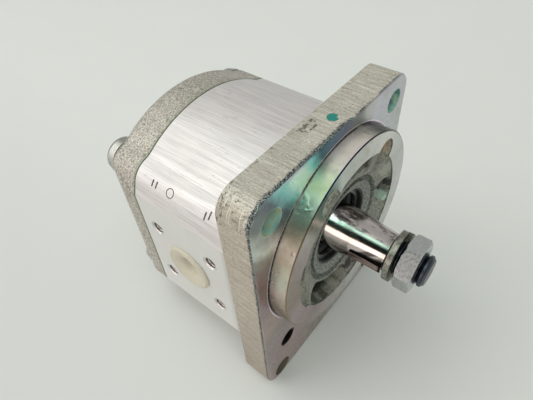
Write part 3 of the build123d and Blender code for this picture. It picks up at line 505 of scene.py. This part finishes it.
# ---------------------------------------------------------------- body and rear cover
def body_aluminium():
    """Drawn aluminium with fine lines along the shaft, faint scuffs, dull port faces and painted shade on
    them next to the flange.
    """
    s = Shader("body_aluminium", metallic=0.55)
    x, y, z = s.axis("X"), s.axis("Y"), s.axis("Z")
    fine = s.noise(0.3, 2.0, 0.6, (1, 70, 1))
    drawn = s.noise(1.6, 3.0, 0.65, (1, 22, 1))
    cloud = s.noise(12, 3.0, 0.5)
    tone = s.mix(s.span(fine, 0.3, 0.7, smooth=False), srgb(196, 191, 190), srgb(236, 231, 230))
    tone = s.mix(s.span(drawn, 0.46, 0.68, 0, 0.5), tone, srgb(198, 192, 191))
    tone = s.mix(s.span(cloud, 0.45, 0.7, 0, 0.35), tone, srgb(226, 219, 216))
    smudge = s.span(s.noise(3.2, 5.0, 0.72, (1, 2.2, 1)), 0.6, 0.72, 0, 0.5)
    tone = s.mix(smudge, tone, srgb(176, 168, 167))
    scuff = s.span(s.noise(0.5, 2.0, 0.6, (1, 9, 1)), 0.68, 0.74, 0, 0.6)
    tone = s.mix(scuff, tone, srgb(150, 144, 144))
    port_face = s.span(s.calc("ABSOLUTE", s.facing("X")), 0.992, 0.999)
    tone = s.mix(port_face, tone, s.mix(cloud, srgb(214, 214, 211), srgb(226, 226, 223)))
    # painted shade on the port faces next to the flange
    flange_shade = s.product(port_face, s.span(y, BODY_LOW.y + 7 * MM, BODY_LOW.y + 1.5 * MM))
    tone = s.mix(s.calc("MULTIPLY", flange_shade, 0.7), tone, srgb(156, 150, 140))
    lobe_r = s.radius(LOBE_X, LOBE_Z)
    stamped = s.product(s.span(lobe_r, LOBE_R - 0.05 * MM, LOBE_R - 0.25 * MM), s.span(z, 16 * MM, 17 * MM),
                        s.span(lobe_r, LOBE_R - 1.2 * MM, LOBE_R - 1.0 * MM))
    tone = s.mix(s.calc("MULTIPLY", stamped, 0.8), tone, srgb(116, 108, 104))
    joint = s.calc("MAXIMUM", s.span(y, BODY_LOW.y + 0.25 * MM, BODY_LOW.y + 0.05 * MM),
                   s.span(y, BODY_HIGH.y - 0.25 * MM, BODY_HIGH.y - 0.05 * MM))
    tone = s.mix(s.calc("MULTIPLY", joint, 0.6), tone, srgb(96, 98, 90))
    end_face = s.span(s.calc("ABSOLUTE", s.facing("Y")), 0.8, 0.95)
    tone = s.mix(end_face, tone, srgb(190, 190, 188))
    bores = s.product(s.span(s.calc("ABSOLUTE", x), BODY_HIGH.x - 0.05 * MM, BODY_HIGH.x - 0.4 * MM),
                      s.within(z, PORT_CENTRE.z - 18 * MM, PORT_CENTRE.z + 18 * MM, 1 * MM))
    metal = s.blend(bores, 0.55, 1.0)
    rough = s.span(drawn, 0.3, 0.7, 0.40, 0.50)
    rough = s.blend(port_face, rough, 0.55)
    rough = s.blend(bores, rough, 0.16)
    normal = s.bump(fine, 0.03, 0.6)
    s.brushed(0.5)
    return s.finish(tone, rough, normal, metal)


def cast_iron():
    """Grainy cast skin with a green line and a faint halo where it meets the body."""
    s = Shader("cast_iron", metallic=0.45)
    y = s.axis("Y")
    grain = s.noise(0.62, 4.0, 0.66)
    coarse = s.noise(2.2, 3.0, 0.6)
    cloud = s.noise(13, 3.0, 0.55)
    tone = s.ramp(grain, [(0.32, srgb(98, 91, 80)), (0.43, srgb(155, 148, 138)),
                          (0.54, srgb(190, 184, 174)), (0.68, srgb(234, 230, 224))])
    tone = s.mix(s.span(cloud, 0.4, 0.7, 0, 0.35), tone, srgb(196, 190, 178))
    tone = s.mix(s.span(coarse, 0.56, 0.72, 0, 0.45), tone, srgb(120, 112, 96))
    joint = s.span(y, REAR_LOW.y + 0.7 * MM, REAR_LOW.y + 0.35 * MM)
    tone = s.mix(joint, tone, s.mix(cloud, srgb(60, 78, 56), srgb(96, 118, 92)))
    halo = s.span(y, REAR_LOW.y + 2.2 * MM, REAR_LOW.y + 0.6 * MM, 0, 0.35)
    tone = s.mix(halo, tone, srgb(120, 132, 104))
    normal = s.bump(coarse, 0.35, 0.35)
    normal = s.bump(grain, 0.22, 0.8, under=normal)
    return s.finish(tone, s.span(grain, 0.3, 0.7, 0.55, 0.38), normal)


# ---------------------------------------------------------------- shaft and its hardware
def shaft_steel():
    """Ground steel with smears, reflections painted as pale green, pinkish and dark bands along the shaft,
    painted shade beside the washer, and a black thread.
    """
    s = Shader("shaft_steel", metallic=1.0)
    y, radius = s.axis("Y"), s.radius()
    clock = s.clock()
    smear = s.noise(3.0, 5.0, 0.7, (1, 2.4, 1))
    fine = s.noise(0.3, 2.0, 0.6)
    tone = s.mix(fine, srgb(196, 188, 184), srgb(208, 202, 198))
    top = s.sector(clock, 45, 112, 0.03)
    worn = s.product(s.within(y, -22 * MM, -4 * MM, 3 * MM), s.blend(top, 0.25, 1.0))
    # painted dark reflection: a band near the taper's end, twisting along it
    swing = s.calc("MULTIPLY_ADD", s.calc("ADD", y, 16 * MM), -4.3 / 360 / MM, clock)
    shade = s.product(s.sector(swing, 163, 173, 0.02),
                      s.span(y, TAPER_END_Y + 0.5 * MM, TAPER_END_Y + 1.5 * MM))
    tone = s.mix(s.calc("MULTIPLY", shade, 0.85), tone, srgb(66, 64, 64))
    near_seal = s.span(y, -13 * MM, -8.5 * MM)
    dark = s.span(s.calc("ADD", smear, s.calc("MULTIPLY", worn, 0.12)), 0.60, 0.72)
    tone = s.mix(s.calc("MULTIPLY", dark, 0.75), tone, srgb(70, 64, 66))
    dots = s.product(s.span(s.cells(1.1), 0.22, 0.1), s.span(s.noise(3.5), 0.55, 0.65))
    tone = s.mix(s.calc("MULTIPLY", dots, 0.7), tone, srgb(50, 56, 48))
    # painted reflections: a pale green band and a pinkish band along the shaft
    mint_reflection = s.sector(clock, 118, 136, 0.012)
    tone = s.mix(s.calc("MULTIPLY", mint_reflection, 0.9), tone, srgb(176, 206, 190))
    salmon_reflection = s.sector(clock, 141, 150, 0.012)
    tone = s.mix(salmon_reflection, tone, srgb(255, 238, 226))
    # painted dark reflection on the top of the journal near the seal
    dark_crown_reflection = s.product(s.sector(clock, 60, 108, 0.03), near_seal,
                      s.span(smear, 0.38, 0.52))
    tone = s.mix(s.calc("MULTIPLY", dark_crown_reflection, 0.8), tone, srgb(48, 42, 42))
    black = s.span(y, TAPER_END_Y - 0.2 * MM, TAPER_END_Y - 0.8 * MM)
    crest = s.span(radius, 5.6 * MM, 5.95 * MM)
    thread = s.mix(s.calc("MULTIPLY", crest, 0.5), srgb(40, 44, 52), srgb(96, 104, 112))
    tip = s.span(y, -37.0 * MM, -37.6 * MM)
    thread = s.mix(s.calc("MULTIPLY", tip, 0.6), thread, srgb(120, 124, 128))
    tone = s.mix(black, tone, thread)
    # painted shade on the taper's last millimetre, beside the washer
    slot = s.product(s.span(radius, 7.6 * MM, 6.9 * MM), s.span(y, TAPER_END_Y, TAPER_END_Y + 1 * MM))
    tone = s.mix(s.calc("MULTIPLY", slot, 0.6), tone, srgb(50, 48, 46))
    rough = s.blend(dark, s.span(smear, 0.3, 0.7, 0.10, 0.17), 0.32)
    rough = s.blend(black, rough, 0.38)
    s.brushed(0.35, 0.25)
    return s.finish(tone, rough, s.bump(smear, 0.02, 0.3, under=s.leaned(y)))


def key_steel():
    """A brown top, with its flanks and inner end painted near black as shade and dark reflection."""
    s = Shader("key_steel", metallic=0.95)
    grain = s.noise(0.8, 4.0, 0.6, (1, 12, 1))
    tone = s.mix(s.span(grain, 0.3, 0.7), srgb(96, 82, 78), srgb(166, 148, 142))
    # painted shade and dark reflection: the flanks and inner end are made near black
    flank = s.span(s.calc("ABSOLUTE", s.facing("Z")), 0.75, 0.9)
    end = s.span(s.axis("Y"), -22.6 * MM, -23.4 * MM)
    tone = s.mix(s.calc("MAXIMUM", flank, end), tone, srgb(24, 22, 22))
    return s.finish(tone, s.span(grain, 0.3, 0.7, 0.26, 0.36), s.bump(grain, 0.03, 0.5))


def zinc_steel(name, light, dark, rough=0.3):
    """Bright plated hardware, faintly mottled."""
    s = Shader(name, metallic=0.95)
    mottle = s.noise(0.9, 3.0, 0.6)
    cloud = s.noise(5, 2.0, 0.5)
    tone = s.mix(s.span(mottle, 0.3, 0.7), dark, light)
    tone = s.mix(s.span(cloud, 0.45, 0.7, 0, 0.4), tone, [c * 0.9 for c in light])
    normal = s.bump(mottle, 0.015, 0.6)
    return s.finish(tone, s.span(mottle, 0.3, 0.7, rough * 0.95, rough * 1.2), normal)


def dull_metal(name, light, dark, size_mm, rough, stretch=(1, 1, 1)):
    """Plain metal with a fine grain between two colours."""
    s = Shader(name, metallic=1.0)
    grain = s.noise(size_mm, 4.0, 0.6, stretch)
    cloud = s.noise(size_mm * 8, 2.0, 0.5)
    tone = s.mix(s.span(grain, 0.3, 0.7), dark, light)
    tone = s.mix(s.span(cloud, 0.45, 0.7, 0, 0.3), tone, dark)
    return s.finish(tone, s.span(grain, 0.3, 0.7, rough * 0.85, rough * 1.15), s.bump(grain, 0.03, 0.5))


def plastic(name, light, dark, rough, glow=0.0):
    """Moulded plastic, rubber or paint, with a few specks and some light let through."""
    s = Shader(name)
    cloud = s.noise(3.0, 3.0, 0.5)
    tone = s.mix(cloud, dark, light)
    specks = s.span(s.noise(0.5, 2.0, 0.6), 0.7, 0.78, 0, 0.4)
    tone = s.mix(specks, tone, [c * 0.6 for c in dark])
    s.main.inputs["Subsurface Weight"].default_value = glow
    s.main.inputs["Subsurface Radius"].default_value = (0.002, 0.0016, 0.001)
    return s.finish(tone, s.span(cloud, 0.3, 0.7, rough * 0.9, rough * 1.1), s.bump(cloud, 0.05, 0.4))


# ---------------------------------------------------------------- extra pieces
def add_piece(name, mesh, material, body):
    """Add an extra piece that rides a body and belongs to a slot."""
    mesh.materials.append(material)
    for polygon in mesh.polygons:
        polygon.use_smooth = True
    piece = bpy.data.objects.new(name, mesh)
    bpy.context.scene.collection.objects.link(piece)
    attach(piece, body)
    return piece


def swept(path, section, closed=False):
    """Vertices and quads of a section carried along a path of (point, across, up) stations."""
    points, quads = [], []
    count = len(section)
    for point, across, up in path:
        points += [point + across * a + up * b for a, b in section]
    stations = len(path)
    for i in range(stations if closed else stations - 1):
        here, there = i * count, (i + 1) % stations * count
        for j in range(count):
            k = (j + 1) % count
            quads.append((here + j, here + k, there + k, there + j))
    return points, quads


def helix(centre, axis, radius, pitch, turns, steps=28):
    """Stations along a helix about an axis: point, outward direction and axis direction."""
    axis = Vector(axis).normalized()
    side = axis.orthogonal().normalized()
    other = axis.cross(side)
    path = []
    for i in range(int(turns * steps) + 1):
        angle = math.tau * i / steps
        outward = side * math.cos(angle) + other * math.sin(angle)
        path.append((centre + outward * radius + axis * pitch * i / steps, outward, axis))
    return path


def mesh_of(name, parts):
    """One mesh from several (points, faces) parts."""
    points, faces = [], []
    for part_points, part_faces in parts:
        shift = len(points)
        points += part_points
        faces += [tuple(i + shift for i in face) for face in part_faces]
    mesh = bpy.data.meshes.new(name)
    mesh.from_pydata(points, [], faces)
    mesh.validate()
    return mesh


def thread_part(centre, axis, radius, pitch, depth, turns):
    """An internal thread's ridge: crest towards the axis, root just inside the hole's wall."""
    root = 0.06 * MM
    half = pitch * 0.42
    section = [(root, -half), (-depth * 0.8, -pitch * 0.09), (-depth, 0.0), (-depth * 0.8, pitch * 0.09),
               (root, half)]
    return swept(helix(centre, axis, radius, pitch, turns), section)


def port_threads(material):
    """Thread ridges in the four tapped holes round each port."""
    reach = PORT_CIRCLE_R * math.sqrt(0.5)
    parts = []
    for side in (-1, 1):
        for dy in (-reach, reach):
            for dz in (-reach, reach):
                start = Vector((side * (BODY_HIGH.x - 0.7 * MM), PORT_CENTRE.y + dy, PORT_CENTRE.z + dz))
                parts.append(thread_part(start, (-side, 0, 0), PORT_HOLE_R, 1.0 * MM, 0.34 * MM, 9))
    add_piece("port_threads", mesh_of("port_threads", parts), material, "housing")


def flange_threads(material):
    """The first turns of thread in the flange's two open bolt holes."""
    parts = []
    for side in (-1, 1):
        start = Vector((side * BOLT_X, 0.9 * MM, LOWER_BOLT_Z))
        parts.append(thread_part(start, (0, 1, 0), BOLT_R, 1.25 * MM, 0.4 * MM, 2.6))
    add_piece("flange_threads", mesh_of("flange_threads", parts), material, "housing")


def garter_spring(material):
    """A coiled wire ring behind the seal lip."""
    low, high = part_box("seal_garter_spring")
    wire = 0.15 * MM
    coil = (high.y - low.y) / 2 - wire
    ring = (high.x - low.x) / 2 - coil - wire
    middle_y = (low.y + high.y) / 2
    coils, steps = 96, 12
    path = []
    for i in range(coils * steps):
        round_ring = math.tau * i / (coils * steps)
        round_coil = math.tau * i / steps
        outward = Vector((math.cos(round_ring), 0, math.sin(round_ring)))
        across = outward * math.cos(round_coil) + Vector((0, 1, 0)) * math.sin(round_coil)
        along = Vector((-math.sin(round_ring), 0, math.cos(round_ring)))
        path.append((Vector((0, middle_y, 0)) + outward * ring + across * coil, across, along))
    section = [(wire * math.cos(math.tau * k / 6), wire * math.sin(math.tau * k / 6)) for k in range(6)]
    mesh = mesh_of("coiled_garter_spring", [swept(path, section, closed=True)])
    piece = add_piece("coiled_garter_spring", mesh, material, "housing")
    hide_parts("seal_garter_spring")


def paint_dot(material):
    """An inspector's dab of paint on the flange's top edge, notched on one side."""
    centre = Vector((3.5 * MM, 6.2 * MM, FLANGE_TOP))
    notch_deg = -54
    rings, spokes = 6, 56
    points = [centre + Vector((0, 0, 0.09 * MM))]
    for k in range(1, rings + 1):
        share = k / rings
        for j in range(spokes):
            angle = math.tau * j / spokes
            off = math.degrees(angle) - notch_deg
            off = (off + 180) % 360 - 180
            size = 2.15 + 0.35 * math.cos(math.radians(off)) - 1.15 * math.exp(-(off / 15) ** 2)
            size += 0.28 * mnoise.noise(Vector((math.cos(angle) * 2.3, math.sin(angle) * 2.3, 4.0)))
            height = 0.09 * (1 - share ** 5) - 0.01
            points.append(centre + Vector((size * share * math.cos(angle) * MM,
                                           size * share * math.sin(angle) * MM, height * MM)))
    faces = [(0, 1 + j, 1 + (j + 1) % spokes) for j in range(spokes)]
    for k in range(rings - 1):
        inner, outer = 1 + k * spokes, 1 + (k + 1) * spokes
        for j in range(spokes):
            n = (j + 1) % spokes
            faces.append((inner + j, outer + j, outer + n, inner + n))
    add_piece("paint_dot", mesh_of("paint_dot", [(points, faces)]), material, "housing")


def lathe(profile, place, axis, steps=96):
    """A turned part: (radius, height) corners about an axis through place."""
    axis = Vector(axis).normalized()
    side = axis.orthogonal().normalized()
    other = axis.cross(side)
    points, faces = [], []
    for j in range(steps):
        angle = math.tau * j / steps
        outward = side * math.cos(angle) + other * math.sin(angle)
        points += [place + outward * r + axis * h for r, h in profile]
    count = len(profile)
    for j in range(steps):
        here, there = j * count, (j + 1) % steps * count
        faces += [(here + k, here + k + 1, there + k + 1, there + k) for k in range(count - 1)]
    return points, faces


def plug_mouldings(material):
    """Each plug's raised outer bead and the gate nub in its dimple."""
    for side, body, node in ((-1, "left_plug", "left_port_plug"), (1, "right_plug", "right_port_plug")):
        low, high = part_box(node)
        face = low.x if side < 0 else high.x
        centre = Vector((face, (low.y + high.y) / 2, (low.z + high.z) / 2))
        rim = (high.y - low.y) / 2
        bead = []
        for k in range(9):
            a = math.pi * k / 8
            bead.append((rim - 1.15 * MM + 0.75 * MM * math.cos(a), 0.24 * MM * math.sin(a) - 0.02 * MM))
        floor = centre - Vector((side, 0, 0)) * 3.62 * MM
        nub = [(1.1 * MM, 0.0), (1.0 * MM, 0.25 * MM), (0.7 * MM, 0.4 * MM), (0.25 * MM, 0.42 * MM),
               (0.0, 0.36 * MM)]
        parts = [lathe(bead, centre, (side, 0, 0)), lathe(nub, floor, (side, 0, 0), 32)]
        name = node.replace("port_plug", "plug_mouldings")
        add_piece(name, mesh_of(name, parts), material, body)


# ---------------------------------------------------------------- stage, light and camera
def stage_floor():
    """A wide plain floor just below the flange, with painted shade making it a little darker on the port
    side.
    """
    half = 3.0
    mesh = bpy.data.meshes.new("floor")
    z = CAD_BOX[0][2] - 0.1 * MM
    corners = [(-half, -half, z), (half, -half, z), (half, half, z), (-half, half, z)]
    mesh.from_pydata(corners, [], [(0, 1, 2, 3)])
    floor = bpy.data.objects.new("floor", mesh)
    bpy.context.scene.collection.objects.link(floor)
    s = Shader("floor_paint")
    tone = s.mix(s.noise(40, 2.0), (0.79, 0.79, 0.77), (0.81, 0.81, 0.785))
    shade = s.span(s.axis("X"), 0.06, -0.14)
    tone = s.mix(shade, tone, (0.70, 0.695, 0.68))
    mesh.materials.append(s.finish(tone, 0.5))


def key_light():
    """A metre-square panel above and behind the pump, on its right."""
    data = bpy.data.lights.new("key", "AREA")
    data.shape = "RECTANGLE"
    data.size, data.size_y = 1.0, 1.0
    data.energy = 2.9
    data.color = (0.97, 1.0, 0.975)
    light = bpy.data.objects.new("key", data)
    aim = Vector((0, 0.02, -0.01))
    light.location = aim + heading(116, 58) * 1.1
    light.rotation_euler = (aim - light.location).to_track_quat("-Z", "Y").to_euler()
    bpy.context.scene.collection.objects.link(light)


def heading(azimuth_deg, elevation_deg):
    a, e = math.radians(azimuth_deg), math.radians(elevation_deg)
    return Vector((math.cos(a) * math.cos(e), math.sin(a) * math.cos(e), math.sin(e)))


# the room's light by height, from straight down at 0 to straight up at 1
ROOM_LEVELS = [(0.0, 0.50), (0.5, 0.50), (0.62, 0.42), (0.80, 0.50), (1.0, 0.62)]

# bright and dark panels of the room: azimuth, elevation, radius of the core and of the edge (deg), level
ROOM_PANELS = [
    (120, 58, 16, 36, (1.00, 1.06, 1.00)),
    (236, 62, 10, 24, (2.5, 3.0, 2.8)),
    (138, 26, 12, 34, (1.95, 1.90, 1.85)),
    (25, 30, 12, 30, (0.66, 0.65, 0.62)),
    (222, 4, 8, 22, (1.6, 1.55, 1.45)),
    (204, 40, 12, 20, (0.03, 0.03, 0.03)),
    (200, 9, 10, 22, (1.8, 1.60, 1.50)),
    (234, 34, 10, 22, (0.06, 0.06, 0.06)),
    (176, 14, 10, 24, (1.9, 1.70, 1.60)),
    (174, 42, 11, 19, (0.02, 0.02, 0.02)),
]
BACKDROP = (0.76, 0.77, 0.75, 1.0)


def studio():
    """A pale room with bright and dark panels, a plain backdrop and one large soft light."""
    world = bpy.data.worlds.new("studio")
    world.use_nodes = True
    bpy.context.scene.world = world
    tree = world.node_tree
    background = tree.nodes["Background"]
    coords = tree.nodes.new("ShaderNodeTexCoord")
    split = tree.nodes.new("ShaderNodeSeparateXYZ")
    tree.links.new(coords.outputs["Generated"], split.inputs[0])
    ramp = tree.nodes.new("ShaderNodeValToRGB")
    lift = tree.nodes.new("ShaderNodeMath")
    lift.operation = "MULTIPLY_ADD"
    lift.inputs[1].default_value = 0.5
    lift.inputs[2].default_value = 0.5
    tree.links.new(split.outputs["Z"], lift.inputs[0])
    tree.links.new(lift.outputs[0], ramp.inputs["Fac"])
    while len(ramp.color_ramp.elements) < len(ROOM_LEVELS):
        ramp.color_ramp.elements.new(0.5)
    for element, (position, level) in zip(ramp.color_ramp.elements, ROOM_LEVELS):
        element.position = position
        element.color = (level, level, level * 0.98, 1.0)
    colour = ramp.outputs["Color"]
    for azimuth, elevation, inner, outer, level in ROOM_PANELS:
        dot = tree.nodes.new("ShaderNodeVectorMath")
        dot.operation = "DOT_PRODUCT"
        tree.links.new(coords.outputs["Generated"], dot.inputs[0])
        dot.inputs[1].default_value = heading(azimuth, elevation)
        near = tree.nodes.new("ShaderNodeMapRange")
        near.interpolation_type = "SMOOTHSTEP"
        tree.links.new(dot.outputs["Value"], near.inputs["Value"])
        near.inputs["From Min"].default_value = math.cos(math.radians(outer))
        near.inputs["From Max"].default_value = math.cos(math.radians(inner))
        mixer = tree.nodes.new("ShaderNodeMix")
        mixer.data_type = "RGBA"
        tree.links.new(near.outputs["Result"], mixer.inputs[0])
        tree.links.new(colour, mixer.inputs[6])
        mixer.inputs[7].default_value = (*level, 1.0)
        colour = mixer.outputs[2]
    seen = tree.nodes.new("ShaderNodeLightPath")
    plain = tree.nodes.new("ShaderNodeMix")
    plain.data_type = "RGBA"
    tree.links.new(seen.outputs["Is Camera Ray"], plain.inputs[0])
    tree.links.new(colour, plain.inputs[6])
    plain.inputs[7].default_value = BACKDROP
    tree.links.new(plain.outputs[2], background.inputs["Color"])
    background.inputs["Strength"].default_value = 0.85
    key_light()


def camera():
    """A wide lens close above the shaft end, rolled a few degrees."""
    data = bpy.data.cameras.new("camera")
    data.sensor_width = 36.0
    data.lens = 29.72
    data.clip_start = 0.01
    view = bpy.data.objects.new("camera", data)
    place = Vector((-0.09635, -0.05368, 0.12864))
    aim = Vector((0.0, 0.03399, -0.00813))
    roll = Quaternion((0, 0, 1), math.radians(-4.8))
    view.location = place
    view.rotation_mode = "QUATERNION"
    view.rotation_quaternion = (aim - place).to_track_quat("-Z", "Y") @ roll
    bpy.context.scene.collection.objects.link(view)
    bpy.context.scene.camera = view


# ---------------------------------------------------------------- the scene
stage_floor()
studio()
camera()

plated = plated_iron()
aluminium = body_aluminium()
steel = shaft_steel()
nut_steel = zinc_steel("nut_steel", srgb(196, 200, 200), srgb(180, 183, 183), 0.27)
bolt_steel = zinc_steel("bolt_steel", srgb(198, 198, 192), srgb(158, 158, 153), 0.3)
spring = dull_metal("spring_steel", srgb(150, 152, 150), srgb(84, 86, 84), 1.0, 0.4)
cream = plastic("plug_plastic", srgb(214, 207, 190), srgb(196, 189, 170), 0.45, 0.1)
paint = plastic("dab_of_paint", srgb(8, 142, 128), srgb(4, 118, 108), 0.3)

dress(plated, "front_cover")
dress(aluminium, "pump_body")
dress(cast_iron(), "rear_cover")
dress(steel, "drive_gear_shaft", "driven_gear_shaft", "dowel_pins")
dress(nut_steel, "shaft_nut")
dress(bolt_steel, "through_bolts", "bolt_washers")
dress(dull_metal("washer_steel", srgb(170, 170, 158), srgb(108, 108, 100), 1.2, 0.38), "lock_washer")
dress(key_steel(), "woodruff_key")
dress(spring, "seal_retaining_ring", "seal_garter_spring")
dress(dull_metal("seal_steel", srgb(120, 122, 124), srgb(80, 82, 84), 1.5, 0.35), "shaft_seal_case")
dress(dull_metal("block_aluminium", srgb(200, 200, 198), srgb(168, 168, 166), 0.5, 0.4, (1, 20, 1)),
      "front_bearing_block", "rear_bearing_block")
dress(dull_metal("bearing_bronze", srgb(186, 148, 96), srgb(140, 104, 62), 0.7, 0.45),
      "front_drive_bush", "front_driven_bush", "rear_drive_bush", "rear_driven_bush")
dress(plastic("seal_rubber", srgb(30, 30, 31), srgb(17, 17, 18), 0.4),
      "front_pressure_seal", "rear_pressure_seal", "front_body_seal", "rear_body_seal",
      "shaft_seal_lip")
dress(plastic("backup_plastic", srgb(230, 226, 214), srgb(208, 204, 190), 0.4, 0.1),
      "front_backup_ring", "rear_backup_ring")
dress(cream, "left_port_plug", "right_port_plug")

port_threads(aluminium)
flange_threads(plated)
garter_spring(spring)
paint_dot(paint)
plug_mouldings(cream)

bpy.context.scene.view_settings.view_transform = "Standard"
